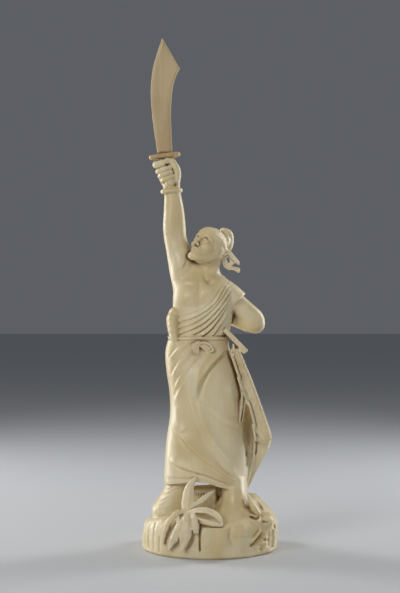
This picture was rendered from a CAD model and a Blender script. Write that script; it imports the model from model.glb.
"""Looks of the ivory warrior: the carved figure and its sword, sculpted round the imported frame.

The figure is modelled as clay: a field of distances in millimetres, negative inside, that shapes are
added to and cut from. The field then becomes one closed mesh.
"""

import math

import bmesh
import bpy
import numpy as np
import openvdb
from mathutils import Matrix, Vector


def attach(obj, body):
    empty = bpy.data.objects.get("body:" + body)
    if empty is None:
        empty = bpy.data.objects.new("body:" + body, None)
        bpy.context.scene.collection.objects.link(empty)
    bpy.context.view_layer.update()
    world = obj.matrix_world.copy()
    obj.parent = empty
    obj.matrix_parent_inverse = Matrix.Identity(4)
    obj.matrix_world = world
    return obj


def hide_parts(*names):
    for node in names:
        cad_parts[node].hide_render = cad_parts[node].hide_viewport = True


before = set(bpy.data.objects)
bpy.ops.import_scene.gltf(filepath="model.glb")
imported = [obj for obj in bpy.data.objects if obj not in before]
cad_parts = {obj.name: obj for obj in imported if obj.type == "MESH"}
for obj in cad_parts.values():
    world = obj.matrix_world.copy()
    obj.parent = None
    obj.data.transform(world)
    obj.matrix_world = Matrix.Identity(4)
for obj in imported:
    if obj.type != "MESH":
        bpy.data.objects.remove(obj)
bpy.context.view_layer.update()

# Camera: level, straight in front and a little to the left, at the photograph's distance

camera_data = bpy.data.cameras.new("camera")
camera_data.lens = 81.45
camera_data.sensor_width = 36
camera = bpy.data.objects.new("camera", camera_data)
camera.location = (-0.00746, -1.054, 0.1968)
camera.rotation_euler = (math.radians(90), 0, 0)
bpy.context.scene.collection.objects.link(camera)
bpy.context.scene.camera = camera

MM = 0.001

# Driving sizes, in millimetres

BASE_RADIUS = 53.0
BASE_CHAMFER = 1.6
HEM_HEIGHT = 50.0
BELT_HEIGHT = 163.4
SWORD_LEAN = math.radians(7.5)
GUARD_CENTRE = (-35.2, 0.0, 307.2)
FIT_GAP = 0.3
CLOTH = 1.0

# Grid of the clay: each stop is a place and the spacing from there to the next stop. The head and
# the fist have the closer spacing

COARSE = 1.0
GRID_X = [(-57.0, 0.55), (-45.0, 0.38), (19.0, 0.55), (56.0, None)]
GRID_Y = [(-59.0, 0.5), (-17.0, 0.38), (14.0, 0.6), (56.0, None)]
GRID_Z = [(-2.0, 0.5), (216.0, 0.34), (256.0, 0.6), (280.0, 0.34), (308.0, None)]
FAR = 6.0
MARGIN = 4.0
MOST_TRIANGLES = 196000

X_AXIS = np.array([1.0, 0.0, 0.0])
Y_AXIS = np.array([0.0, 1.0, 0.0])
Z_AXIS = np.array([0.0, 0.0, 1.0])


def unit(vector):
    vector = np.array(vector, float)
    return vector / np.linalg.norm(vector)


def axis_places(stops):
    """Places along one axis of the grid."""
    runs = []
    for (start, spacing), (end, _) in zip(stops, stops[1:]):
        count = round((end - start) / (spacing * COARSE))
        runs.append(np.linspace(start, end, count, endpoint=False))
    return np.concatenate(runs).astype(np.float32)


def smooth_step(value):
    value = np.clip(value, 0, 1)
    return value * value * (3 - 2 * value)


def soft_min(a, b, blend):
    """The lower of two fields, rounded where they meet over the blend's distance."""
    mix = np.clip(0.5 + (b - a) * (0.5 / blend), 0, 1)
    return b + (a - b) * mix - blend * mix * (1 - mix)


def soft_max(a, b, blend):
    return -soft_min(-a, -b, blend)


def smooth_rows(rows, count):
    """Rows of sizes read as one smooth row at even places from the first row to the last."""
    rows = np.array(rows, float)
    padded = np.vstack([rows[:1], rows, rows[-1:]])
    place = np.linspace(0, len(rows) - 1, count)
    i = np.minimum(place.astype(int), len(rows) - 2)
    f = (place - i)[:, None]
    a, b, c, d = (padded[i + k] for k in range(4))
    square = 2 * a - 5 * b + 4 * c - d
    cube = 3 * b - a - 3 * c + d
    return 0.5 * (2 * b + (c - a) * f + square * f**2 + cube * f**3)


class Clay:
    """A block of clay on a grid. A shape is its lowest corner, its highest corner and its distance."""

    def __init__(self, x, y, z):
        self.axes = (x, y, z)
        self.field = np.full((x.size, y.size, z.size), FAR, np.float32)

    def window(self, low, high):
        cuts = tuple(
            slice(*np.searchsorted(axis, (a - MARGIN, b + MARGIN)))
            for axis, a, b in zip(self.axes, low, high)
        )
        x, y, z = (axis[cut] for axis, cut in zip(self.axes, cuts))
        return cuts, (x[:, None, None], y[None, :, None], z[None, None, :])

    def add(self, shape, blend=0.5):
        low, high, distance = shape
        cuts, places = self.window(low, high)
        self.field[cuts] = soft_min(self.field[cuts], distance(*places), blend)

    def cut(self, shape, blend=0.4):
        low, high, distance = shape
        cuts, places = self.window(low, high)
        self.field[cuts] = -soft_min(-self.field[cuts], distance(*places), blend)


def ellipse(squares, radii):
    """Distance to an ellipsoid from squared offsets along its axes."""
    k0 = sum(s / r**2 for s, r in zip(squares, radii))
    k1 = sum(s / r**4 for s, r in zip(squares, radii))
    k0 = np.sqrt(k0)
    return k0 * (k0 - 1) / np.sqrt(k1 + 1e-9)


def blob(centre, radii, axes=(X_AXIS, Y_AXIS, Z_AXIS)):
    """An ellipsoid with its own three axes."""
    centre = np.array(centre, float)
    half = np.sqrt(sum((axis * r) ** 2 for axis, r in zip(axes, radii)))

    def distance(x, y, z):
        dx, dy, dz = x - centre[0], y - centre[1], z - centre[2]
        squares = [(dx * a[0] + dy * a[1] + dz * a[2]) ** 2 for a in axes]
        return ellipse(squares, radii)

    return centre - half, centre + half, distance


def round_section(side, deep, beyond, width, depth, _):
    return ellipse([side**2, deep**2, beyond**2], [width, depth, width])


def flat_section(corner):
    """A rounded-box section for straps, plates and ribbons."""

    def section(side, deep, beyond, width, depth, _):
        a = np.abs(side) - width + corner
        b = np.abs(deep) - depth + corner
        c = np.abs(beyond)
        outside = np.sqrt(np.maximum(a, 0) ** 2 + np.maximum(b, 0) ** 2 + c**2)
        return outside + np.minimum(np.maximum(a, b), 0) - corner

    return section


def limb(rows, facing=Y_AXIS, section=round_section, steps=20):
    """A body along a smooth line. Each row is x, y, z, half width and half depth.

    The depth is along the facing, as near as the line lets it be."""
    line = smooth_rows(rows, steps + 1)
    reach = line[:, 3:5].max(1)[:, None]
    ends = line[:, :3]

    def distance(x, y, z):
        shape = np.broadcast_shapes(x.shape, y.shape, z.shape)
        nearest = np.full(shape, FAR, np.float32)
        for i, (a, b) in enumerate(zip(line, line[1:])):
            grow = max(reach[i, 0], reach[i + 1, 0]) + MARGIN
            low = np.minimum(a[:3], b[:3]) - grow
            high = np.maximum(a[:3], b[:3]) + grow
            cx, cy, cz = (
                slice(*np.searchsorted(axis.ravel(), (l, h)))
                for axis, l, h in zip((x, y, z), low, high)
            )
            dx, dy, dz = x[cx] - a[0], y[:, cy] - a[1], z[:, :, cz] - a[2]
            length = np.linalg.norm(b[:3] - a[:3])
            forward = (b[:3] - a[:3]) / length
            across = unit(np.cross(facing, forward))
            through = np.cross(forward, across)
            along = dx * forward[0] + dy * forward[1] + dz * forward[2]
            t = np.clip(along / length, 0, 1)
            side = dx * across[0] + dy * across[1] + dz * across[2]
            deep = dx * through[0] + dy * through[1] + dz * through[2]
            width = a[3] + (b[3] - a[3]) * t
            depth = a[4] + (b[4] - a[4]) * t
            found = section(side, deep, along - t * length, width, depth, (i + t) / steps)
            nearest[cx, cy, cz] = np.minimum(nearest[cx, cy, cz], found)
        return nearest

    return (ends - reach).min(0), (ends + reach).max(0), distance


def bar(start, end, start_radius, end_radius=None):
    """A straight round bar with round ends."""
    end_radius = start_radius if end_radius is None else end_radius
    rows = [[*start, start_radius, start_radius], [*end, end_radius, end_radius]]
    facing = Y_AXIS if abs(unit(np.subtract(end, start))[1]) < 0.8 else Z_AXIS
    return limb(rows, facing, steps=1)


def crease(points, radius=0.5, steps=12):
    """A thin round line through points, to cut a crease or to lay a thin roll."""
    rows = [[*p, radius * taper, radius * taper] for p, taper in zip(points, tapers(len(points)))]
    return limb(rows, unit((0.2, 0.9, 0.3)), steps=steps)


def tapers(count):
    return [0.5 if i in (0, count - 1) else 1.0 for i in range(count)]


def lattice_noise(seed, size, x, y, z):
    """Smooth noise between -1 and 1 with lumps of the given size."""
    random = np.random.default_rng(seed).uniform(-1, 1, (16, 16, 16)).astype(np.float32)
    cells, shares = [], []
    for axis in (x, y, z):
        place = axis / size
        cell = np.floor(place).astype(int)
        cells.append(cell)
        shares.append(smooth_step(place - cell).astype(np.float32))
    total = 0
    for corner in np.ndindex(2, 2, 2):
        index = tuple((cell + c) % 16 for cell, c in zip(cells, corner))
        weight = 1
        for share, c in zip(shares, corner):
            weight = weight * (share if c else 1 - share)
        total = total + random[index] * weight
    return total


class Draped:
    """An upright body with rounded-box level sections, whose skin takes folds as relief.

    Each row is height, left, right, front and back of one level section."""

    AROUND = 900

    def __init__(self, rows, power, heights):
        dense = smooth_rows(rows, 240)
        self.z = heights[(heights >= rows[0][0]) & (heights <= rows[-1][0])]
        left, right, front, back = (
            np.interp(self.z, dense[:, 0], dense[:, i]).astype(np.float32) for i in range(1, 5)
        )
        self.middle_x, self.half_x = (left + right) / 2, (right - left) / 2
        self.middle_y, self.half_y = (front + back) / 2, (back - front) / 2
        self.power = 2 / power
        angle = np.linspace(-np.pi, np.pi, self.AROUND, endpoint=False, dtype=np.float32)
        self.c, self.s = np.cos(angle)[:, None], np.sin(angle)[:, None]
        k = self.ratio(self.c, self.s)
        self.skin = np.stack(
            np.broadcast_arrays(
                self.middle_x + self.half_x * self.c / k,
                self.middle_y + self.half_y * self.s / k,
                self.z[None],
            ),
            -1,
        )
        self.relief = np.zeros(self.skin.shape[:2], np.float32)

    def ratio(self, u, v):
        return (np.abs(u) ** self.power + np.abs(v) ** self.power) ** (1 / self.power)

    def place(self, x, z, back):
        """The skin's point at a place given by x and height, seen from the front or the back."""
        i = min(np.searchsorted(self.z, z), self.z.size - 1)
        u = np.clip((x - self.middle_x[i]) / self.half_x[i], -0.995, 0.995)
        v = (1 - abs(u) ** self.power) ** (1 / self.power) * (1 if back else -1)
        return [self.middle_x[i] + u * self.half_x[i], self.middle_y[i] + v * self.half_y[i], z]

    def fold(self, path, width, height, lean=0.0, groove=0.0, back=False, ends=0.16):
        """A ridge along a path of x and height places. A lean above 0 makes the right of the path
        steeper, and the groove cuts a valley at the foot of the steeper side."""
        flat = smooth_rows(path, 22)
        points = np.array([self.place(x, z, back) for x, z in flat])
        reach = 3.2 * width
        rows = slice(*np.searchsorted(self.z, (points[:, 2].min() - reach, points[:, 2].max() + reach)))
        skin = self.skin[:, rows]
        near = np.all((skin > points.min(0) - reach) & (skin < points.max(0) + reach), axis=2)
        cells = skin[near]
        outward = np.broadcast_to(np.concatenate([self.c, self.s], 1)[:, None], (*near.shape, 2))[near]
        best = np.full(len(cells), 1e9, np.float32)
        signed = best.copy()
        along = np.zeros_like(best)
        for i, (a, b) in enumerate(zip(points, points[1:])):
            run = b - a
            t = np.clip((cells - a) @ run / (run @ run), 0, 1)
            off = cells - a - t[:, None] * run
            gap = np.linalg.norm(off, axis=1)
            turn = np.cross(run, off)
            side = np.sign(turn[:, 0] * outward[:, 0] + turn[:, 1] * outward[:, 1])
            closer = gap < best
            best[closer] = gap[closer]
            signed[closer] = (gap * side)[closer]
            along[closer] = ((i + t) / (len(points) - 1))[closer]
        steep = width * (1 - 0.65 * abs(lean))
        gentle = width * (1 + 0.65 * abs(lean))
        facing = -signed * (np.sign(lean) or 1.0)
        spread = np.where(facing > 0, steep, gentle)
        ridge = height * np.exp(-1.5 * (np.sqrt((signed / spread) ** 2 + 0.12) - 0.346))
        valley = groove * np.exp(-(((facing - 1.4 * steep) / (0.75 * steep)) ** 2))
        taper = smooth_step(along / ends) * smooth_step((1 - along) / ends)
        change = np.zeros(near.shape, np.float32)
        change[near] = (ridge - valley) * taper
        self.relief[:, rows] += change

    def distance(self, x, y, z):
        """The body's distance between its first and last heights."""
        rows = np.clip(np.searchsorted(self.z, z.ravel()), 0, self.z.size - 1)
        dx, dy = x - self.middle_x[rows], y - self.middle_y[rows]
        u, v = dx / self.half_x[rows], dy / self.half_y[rows]
        out = np.hypot(dx, dy)
        gap = out * (1 - 1 / (self.ratio(u, v) + 1e-6))
        near = np.abs(gap) < 7
        place = (np.arctan2(v, u)[near] + np.pi) * (self.AROUND / (2 * np.pi))
        low = np.floor(place).astype(np.int32)
        share = (place - low).astype(np.float32)
        row = np.broadcast_to(rows, gap.shape)[near]
        first = self.relief[low % self.AROUND, row]
        second = self.relief[(low + 1) % self.AROUND, row]
        gap[near] -= first * (1 - share) + second * share
        return gap

    def shape(self, bottom=None, top=None, rounding=0.8):
        """The body between two heights, either of which may be a function of x and y."""
        z_low, z_high = self.z[0], self.z[-1]
        low = [*self.skin[..., :2].min((0, 1)) - 2, z_low - 1]
        high = [*self.skin[..., :2].max((0, 1)) + 2, z_high + 1]
        bottom = bottom or (lambda x, y: z_low)
        top = top or (lambda x, y: z_high)

        def distance(x, y, z):
            gap = soft_max(self.distance(x, y, z), bottom(x, y) - z, rounding)
            return soft_max(gap, z - top(x, y), rounding)

        return low, high, distance


clay = Clay(axis_places(GRID_X), axis_places(GRID_Y), axis_places(GRID_Z))
heights = clay.axes[2]

# Rock base: a drum cut from the tusk, fluted at the left, gnarled at the right, higher under the feet

ROCK = [
    [-1, -53, 52.6, -53, 53],
    [12, -52.4, 53, -53, 53],
    [23, -50.6, 53, -52.4, 52],
    [30, -47.6, 51.6, -51, 50],
    [38, -44, 47, -46, 46],
]

# Hills of the rock's top: middle x and y, reach along x and y, and height
HILLS = [
    (-27, -6, 20, 28, 7),
    (34, 2, 15, 28, 20),
    (0, -28, 38, 24, 8),
    (26, -34, 16, 16, 3),
    (-4, 4, 13, 18, 12),
]

# Grooves and ridges of the rock's front: path of x and height, half width and height
ROCK_MARKS = [
    ([(37, 20), (34.6, 17), (31.6, 14.6)], 1.2, -1.8),
    ([(39, 20), (35, 15.6), (29, 11)], 1.5, 1.6),
    ([(41, 17.6), (36, 12.4), (30, 7.6)], 1.3, -3.2),
    ([(43.6, 14), (39, 9.6), (34, 5.4)], 1.5, 1.4),
    ([(45.6, 11), (41, 7.4), (38, 4)], 1.1, -1.6),
    ([(48.4, 19), (48.8, 11), (48.4, 4)], 1.6, 1.4),
    ([(45, 18), (45.4, 12), (45, 5)], 1.2, -1.1),
    ([(17.4, 30), (15.9, 22), (15.4, 16), (18.6, 9)], 1.8, -1.5),
    ([(23.6, 29), (24, 23), (23.4, 16)], 5.0, 1.4),
    ([(11, 26), (10, 18), (11.6, 8)], 3.4, 0.8),
    ([(3, 24), (1.8, 14), (3, 4)], 3, -0.5),
    ([(-7.5, 29), (-7.8, 20), (-7.7, 12), (-7.5, 4.6)], 0.75, -2.8),
    ([(-4.6, 27), (-4.4, 14), (-4.8, 4)], 2.0, 0.6),
    ([(-49.8, 23), (-50.6, 12), (-50.6, 2)], 0.8, -0.9),
    ([(-46.4, 25), (-47.2, 12), (-47, 2)], 0.9, -0.9),
    ([(-42, 26), (-43, 12), (-42.6, 2)], 0.9, -0.7),
    ([(-38.6, 15), (-38.4, 8), (-38.6, 2)], 0.8, -1.0),
    ([(-34.6, 15), (-30, 13), (-26, 15)], 1.6, 0.6),
]


def rock_top(x, y):
    top = 21 + 0 * x + 0 * y
    for middle_x, middle_y, reach_x, reach_y, height in HILLS:
        top = top + height * np.exp(-(((x - middle_x) / reach_x) ** 2) - ((y - middle_y) / reach_y) ** 2)
    return top


def rock():
    drum = Draped(ROCK, 1.0, heights)
    for path, width, height in ROCK_MARKS:
        drum.fold(path, width, height)
    for i in range(26):
        x = 50 * math.sin(i * 2.4)
        reach = 1 + 1.4 * (i % 3)
        lean = 3 * math.cos(i * 1.7)
        drum.fold([(x - lean, 3), (x, 13), (x + lean, 24)], reach, 0.9 * math.cos(i * 1.3), back=True)

    def distance(x, y, z):
        side = drum.distance(x, y, z)
        gnarl = 0.25 + 0.55 * smooth_step((x - 18) / 22)
        lumps = lattice_noise(11, 6.0, x, y, z) * 0.9 + lattice_noise(12, 2.8, x, y, z) * 0.4
        chips = lattice_noise(13, 1.5, x + 0.6 * z, y, z * 1.6)
        side = side - gnarl * lumps - 0.12 * chips
        rise = (z - rock_top(x, y)) * 0.85 - 0.45 * lumps - 0.22 * chips
        crisp = smooth_step(1.4 - np.abs(x - 3) / 9) * smooth_step(-y / 30)
        gap = crisp * soft_max(side, rise, 0.8) + (1 - crisp) * soft_max(side, rise, 5.0)
        gap = soft_max(gap, (side + BASE_CHAMFER - z) * 0.7, 0.3)
        return np.maximum(gap, -z)

    return (-54, -54, 0), (54, 54, 48), distance


# Ferns: toothed fronds that arch out of one root. Rows are x, y, z, half width and half thickness


TOOTH_DEPTH = 0.3
VEIN_DEPTH = 0.16


def frond_section(teeth, gutter):
    def section(side, deep, beyond, width, depth, t):
        tooth = 1 - TOOTH_DEPTH * (1 - (t * teeth - 0.12 * np.abs(side)) % 1)
        bent = deep + gutter * np.abs(side)
        gap = ellipse([side**2, bent**2, beyond**2], [width * tooth, depth, width])
        rib = 0.35 * np.exp(-((side / 0.4) ** 2))
        veins = VEIN_DEPTH * np.cos((t * teeth - np.abs(side) * 0.35) * 2 * np.pi)
        return gap + rib + veins * smooth_step(np.abs(side))

    return section


# Each frond: its rows, number of teeth, how deep its gutter is, and the way its face looks
FRONDS = [
    (
        [
            (-17.6, -41, 30, 3.2, 1.8),
            (-17.3, -40, 37, 4.9, 1.5),
            (-16.8, -37.6, 43.4, 5.2, 1.4),
            (-15.9, -34.8, 50.6, 4.2, 1.2),
            (-13.6, -32.6, 55.2, 2.7, 1.0),
            (-10.6, -31, 59.2, 0.7, 0.6),
        ],
        13,
        0.24,
        (-0.25, -0.9, 0.3),
    ),
    (
        [
            (-15.5, -41, 33, 1.8, 1.4),
            (-13, -40.5, 37.4, 2.2, 1.2),
            (-5.9, -37.5, 42.5, 2.4, 1.1),
            (-0.9, -34, 46.2, 1.9, 1.0),
            (3.6, -31, 49, 0.6, 0.6),
        ],
        9,
        0.25,
        (0.5, -0.7, 0.6),
    ),
    (
        [
            (-17.2, -43, 33, 2.6, 1.5),
            (-10.5, -45.2, 36.4, 3.6, 1.3),
            (-3.7, -46.4, 37, 4.0, 1.2),
            (2.6, -47.5, 35, 3.8, 1.2),
            (7, -49, 31, 3.0, 1.1),
            (9, -50.6, 25.6, 1.2, 0.8),
        ],
        13,
        0.3,
        (0.1, -0.45, 0.9),
    ),
    (
        [
            (-13, -46, 31, 1.8, 1.2),
            (-6.7, -50, 29, 2.4, 1.2),
            (1.2, -52, 27, 2.3, 1.1),
            (8.8, -51.8, 25.6, 1.0, 0.8),
        ],
        10,
        0.15,
        (0.0, -0.85, -0.35),
    ),
    (
        [
            (-13.6, -45, 33, 1.9, 1.4),
            (-11.8, -50, 31, 2.5, 1.3),
            (-10.8, -53, 26, 2.9, 1.2),
            (-10.6, -53.6, 22.4, 2.7, 1.1),
        ],
        5,
        0.15,
        (0.1, -1, 0.1),
    ),
    (
        [
            (-17.5, -43, 33, 3.0, 1.8),
            (-17.6, -49.5, 30, 4.4, 1.5),
            (-17.9, -53.2, 24, 5.0, 1.4),
            (-19, -54.4, 17, 4.6, 1.3),
            (-20.2, -54.2, 11, 2.6, 1.1),
            (-21, -53.6, 7.4, 0.7, 0.7),
        ],
        13,
        0.2,
        (-0.15, -1, 0.2),
    ),
    (
        [
            (-18.5, -46, 31, 3.0, 1.6),
            (-22.5, -51.2, 25.5, 4.0, 1.4),
            (-26, -51, 18, 3.9, 1.3),
            (-29, -49, 11.5, 2.3, 1.1),
            (-31.2, -47, 6.8, 0.7, 0.7),
        ],
        10,
        0.2,
        (-0.45, -0.9, 0.15),
    ),
    (
        [
            (-18, -42, 32, 2.4, 1.6),
            (-24, -43.5, 34, 2.7, 1.3),
            (-29.7, -45.2, 29.6, 2.7, 1.2),
            (-33.2, -44.6, 23, 2.4, 1.2),
            (-35.3, -43, 15.7, 1.9, 1.0),
            (-35.3, -42.6, 10.2, 0.6, 0.6),
        ],
        12,
        0.25,
        (-0.6, -0.75, 0.3),
    ),
]


def add_base():
    clay.add(rock())
    clay.cut(blob((-28.2, -50, 23.4), (3.8, 7, 6.6), turned_frame(25)), 0.8)
    clay.cut(blob((-26.4, -51.6, 10.4), (2.6, 5, 2.4), turned_frame(35)), 0.8)
    clay.cut(blob((-16.4, -52, 14), (3.8, 5.4, 7.4), turned_frame(-25)), 0.8)
    clay.cut(blob((-3, -50, 30.5), (8, 4, 2.4)), 0.8)
    clay.cut(blob((42, -36, 11.4), (1.9, 4, 1.4), turned_frame(-30)), 0.5)
    clay.cut(blob((38.6, -38, 7.6), (1.2, 3, 1.2)), 0.5)
    clay.cut(blob((50.4, -18, 18.6), (1.5, 3, 2.2)), 0.8)
    clay.cut(blob((20.2, -52, 0), (0.8, 4, 1.2)), 0.3)
    clay.add(blob((43, -26, 24.6), (6.4, 8, 5.6), turned_frame(30)), 2.0)
    for i in range(4):
        turn = math.radians(20 + 26 * i)
        across = (math.cos(turn), math.sin(turn))
        points = [
            (40 + r * across[0] - 2 * (r > 5), -32.6 - 0.5 * r * across[1], 24 + r * across[1])
            for r in (1, 4, 7)
        ]
        clay.cut(crease(points, 0.5), 0.7)
    clay.add(blob((-17.5, -39, 28), (7, 6, 7)), 2.0)
    for rows, teeth, gutter, facing in FRONDS:
        clay.add(limb(rows, unit(facing), frond_section(teeth, gutter), steps=30), 0.4)


# Legs: a wrapped boot that points left, a wide trouser with the toe of a shoe, and a stump between

BOOT = [
    [24, -44, -14, -26, 8],
    [31, -45, -14.5, -25, 8],
    [34, -44.6, -15, -23, 9],
    [37.5, -42, -15.5, -21.4, 10],
    [42, -38.8, -16, -19.8, 10],
    [46, -36, -16, -18.6, 11],
    [50, -34.8, -16, -18, 12],
    [60, -33, -15, -17, 13],
]

TROUSER = [
    [22, -4, 36, -42, 18],
    [29, 1, 32, -37, 18],
    [36, 5.6, 30, -31, 18],
    [44, 8.6, 29.4, -27, 18],
    [58, 9, 28, -24, 18],
]


def add_legs():
    boot = Draped(BOOT, 0.92, heights)
    for i in range(11):
        drop = 2.3 * i
        path = [(-15, 55 - drop), (-25, 52 - drop * 1.1), (-33, 48 - drop * 1.2), (-41, 41.6 - drop)]
        boot.fold(path, 0.7, 0.5, lean=0.4)
    clay.add(boot.shape(rounding=3.0), 1.6)
    trouser = Draped(TROUSER, 0.88, heights)
    trouser.fold([(12, 54), (11, 42), (7, 28)], 2.0, 0.7, lean=0.5)
    trouser.fold([(18, 52), (18.6, 42), (17, 27)], 2.4, 0.7, lean=0.4)
    trouser.fold([(24, 50), (25.4, 40), (25, 27)], 2.2, 0.6, lean=-0.5)
    clay.add(trouser.shape(rounding=2.0), 5.0)
    clay.cut(limb([(32, -18, 44, 1.2, 6), (36.4, -20, 38.6, 2.0, 8), (40.4, -19, 33, 1.0, 5)], steps=8), 0.8)
    shoe = [
        (30.2, -24, 43, 1.3, 5),
        (32.0, -27, 39, 2.4, 6),
        (34.2, -29.4, 34.8, 3.0, 6),
        (36.0, -30.6, 31.4, 2.9, 4),
    ]
    clay.add(limb(shoe, steps=10), 0.3)
    clay.cut(limb([(31, -36, 29.6, 0.8, 3), (35, -37, 28.2, 1.1, 3), (39, -35, 30, 0.6, 3)], steps=8), 0.6)
    clay.add(slab((-3.4, -3, 38), (9.4, 9.4, 10.4), (X_AXIS, Y_AXIS, Z_AXIS), 3.4), 2.0)
    clay.cut(blob((-8.6, -2, 50.6), (4, 12, 1.8)), 2.0)
    for i in range(5):
        x = -12.4 + 1.9 * i
        clay.cut(crease([(x, -11.6, 44.6), (x + 0.4, -12.6, 40), (x, -13, 34)], 0.7), 0.4)
    clay.add(slab((6, 2, 38), (7, 8, 10), (X_AXIS, Y_AXIS, Z_AXIS), 1.0), 1.0)
    clay.cut(slab((7.2, -12, 44.4), (2.3, 5.4, 3.6), (X_AXIS, Y_AXIS, Z_AXIS), 0.5), 0.6)


def turned(axis, degrees):
    """The other two axes after a turn about this one."""
    angle = math.radians(degrees)
    first, second = (Y_AXIS, Z_AXIS) if axis is X_AXIS else (X_AXIS, Z_AXIS)
    c, s = math.cos(angle), math.sin(angle)
    return first * c + second * s, second * c - first * s


# Skirt: a wrapped robe from belt to hem

SKIRT = [
    [42, -36.2, 29, -27, 24],
    [HEM_HEIGHT, -36, 30, -28, 24],
    [68, -35, 31, -28, 24],
    [86, -33.6, 30, -27, 24],
    [104, -31, 28, -26, 23],
    [122, -31.4, 25, -25, 22],
    [140, -34, 21, -23, 20],
    [154, -34.6, 16.5, -20, 17],
    [BELT_HEIGHT + 1, -32, 13.5, -17, 14],
]

# Lowest edge of the skirt's front: x and height
HEM = [
    (-35.8, 53.4),
    (-34.4, 50.8),
    (-27, 52.1),
    (-17.7, 53.6),
    (-10.3, 54.7),
    (-1.6, 53.9),
    (6.2, 50.8),
    (14, 48.9),
    (23.6, 45.6),
    (27.8, 46.8),
    (30.1, 48.5),
]

# Folds: path of x and height, half width, height, lean and groove
SKIRT_FOLDS = [
    ([(12.8, 158), (6, 151), (-0.9, 143), (-6, 134.6), (-9, 126.9), (-9.8, 117)], 3.0, 2.6, -0.6, 1.6),
    ([(2, 158), (-3, 150), (-7.5, 141), (-10.5, 130), (-12.4, 117)], 3.0, 1.2, -0.3, 0.3),
    ([(-9, 161), (-16, 154), (-23, 145), (-29, 134)], 2.4, 1.0, 0.4, 0.4),
    ([(-4, 156), (-12, 148), (-20, 137.5), (-27, 125)], 2.6, 1.0, 0.4, 0.4),
    ([(-16, 162), (-24, 156), (-31, 147)], 2.2, 1.0, 0.4, 0.4),
    ([(-6, 146), (-14, 137), (-21, 127), (-27, 115)], 2.8, 0.8, 0.3, 0.3),
    ([(-8.4, 125), (-0.9, 114.6), (6.8, 106), (14, 100.6), (24, 97)], 2.8, 1.5, 0.5, 0.8),
    ([(-16.3, 122), (-11.1, 109), (-5.2, 94.5), (2.5, 81), (12.7, 67.5), (23, 56)], 3.2, 1.7, 0.5, 0.9),
    ([(-9, 118), (-5, 103), (1, 90), (9, 78), (19, 66)], 2.8, 1.1, 0.4, 0.5),
    ([(-31, 101.5), (-23.1, 91), (-13.7, 81), (-0.9, 70), (11, 61), (24, 52)], 2.8, 2.2, 0.6, 1.1),
    ([(-31, 71), (-20.5, 66), (-6, 62), (9.4, 56.4), (24, 50)], 2.8, 2.0, 0.6, 1.3),
    ([(-34, 58), (-22, 58.5), (-8, 58.6), (8, 54), (24, 49)], 2.0, 0.6, 0.4, 0.5),
    ([(-26, 112), (-24, 100), (-20, 92)], 3.4, 0.7, 0.2, 0.0),
    ([(15, 130), (18, 116), (19, 104)], 5.0, 0.9, 0.0, 0.0),
]

BACK_FOLDS = [
    ([(-24, 160), (-27, 130), (-28, 95), (-30, 56)], 3.0, 1.5, 0.4, 0.7),
    ([(-15, 160), (-17, 125), (-16, 90), (-19, 56)], 3.2, 1.7, 0.4, 0.8),
    ([(-6, 160), (-6, 130), (-8, 95), (-8, 56)], 3.0, 1.5, -0.4, 0.7),
    ([(3, 160), (5, 130), (3, 95), (5, 56)], 3.2, 1.7, 0.4, 0.8),
    ([(10, 160), (14, 130), (14, 95), (17, 56)], 3.0, 1.5, -0.4, 0.7),
]


def hem(x, y):
    front = np.interp(np.broadcast_to(x, np.broadcast_shapes(x.shape, y.shape)), *np.array(HEM).T)
    back = 50.5 + 1.2 * np.sin(x * 0.35)
    return front + (back - front) * smooth_step((y + 8) / 18)


# Side panel: the robe's loose end, which swings out behind the scabbard. Rows are as the skirt's

PANEL = [
    [40, 16, 27, -14, 14],
    [47, 16, 30.5, -13, 14],
    [54, 16, 33.4, -11, 13],
    [62, 16, 37.4, -8, 12],
    [70, 17, 42.6, -6, 11],
    [78, 18, 47, -4, 10],
    [84, 18, 48.6, -3, 9.4],
    [92, 18, 47.6, -2, 9],
    [112, 17, 40, 0, 10],
    [134, 14, 31.5, 0, 11],
    [152, 8, 22, 0, 10],
]

PANEL_FOLDS = [
    ([(46, 82), (41, 70), (34, 57), (30, 48)], 2.0, 1.4, 0.3, 0.5),
    ([(36, 86), (35.5, 74), (32, 62), (29, 50)], 2.0, 1.2, -0.4, 0.8),
]


def add_robe():
    robe = Draped(SKIRT, 0.88, heights)
    for path, width, height, lean, groove in SKIRT_FOLDS:
        robe.fold(path, width, height, lean, groove)
    for path, width, height, lean, groove in BACK_FOLDS:
        robe.fold(path, width, height, lean, groove, back=True)
    skirt = Clay(*(axis[cut] for axis, cut in zip(clay.axes, clay.window((-40, -33, 40), (50, 30, 168))[0])))
    skirt.add(robe.shape(bottom=hem, rounding=0.9))
    panel = Draped(PANEL, 0.8, heights)
    for path, width, height, lean, groove in PANEL_FOLDS:
        panel.fold(path, width, height, lean, groove)
    skirt.add(panel.shape(bottom=lambda x, y: 46.5 + 0 * x, rounding=1.2), 1.5)
    skirt.cut(hollow_under_hem())
    for rows in HOLLOWS:
        skirt.cut(limb(rows, steps=16), 0.8)
    for rows in NARROW_FOLDS:
        skirt.add(limb(rows, steps=12), 0.7)
    merge(skirt, 0.8)


# Deep hollow and slit between the thigh and the side panel, and the narrow folds at its top
HOLLOWS = [
    [
        (25.6, -13, 117, 0.5, 5),
        (27.2, -13, 107, 1.9, 9),
        (29.2, -13, 97, 3.4, 12),
        (29.6, -14, 87, 3.6, 12),
        (29.2, -15, 79, 2.0, 9),
        (28.6, -15, 73, 0.5, 5),
    ],
    [(32.8, -11, 92, 1.0, 8), (33.2, -11, 80, 1.4, 8), (32.6, -11, 69, 0.5, 5)],
    [(36.8, -7, 88, 0.8, 5), (36.8, -7, 80, 0.9, 5), (36, -6, 73, 0.4, 3)],
]

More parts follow.
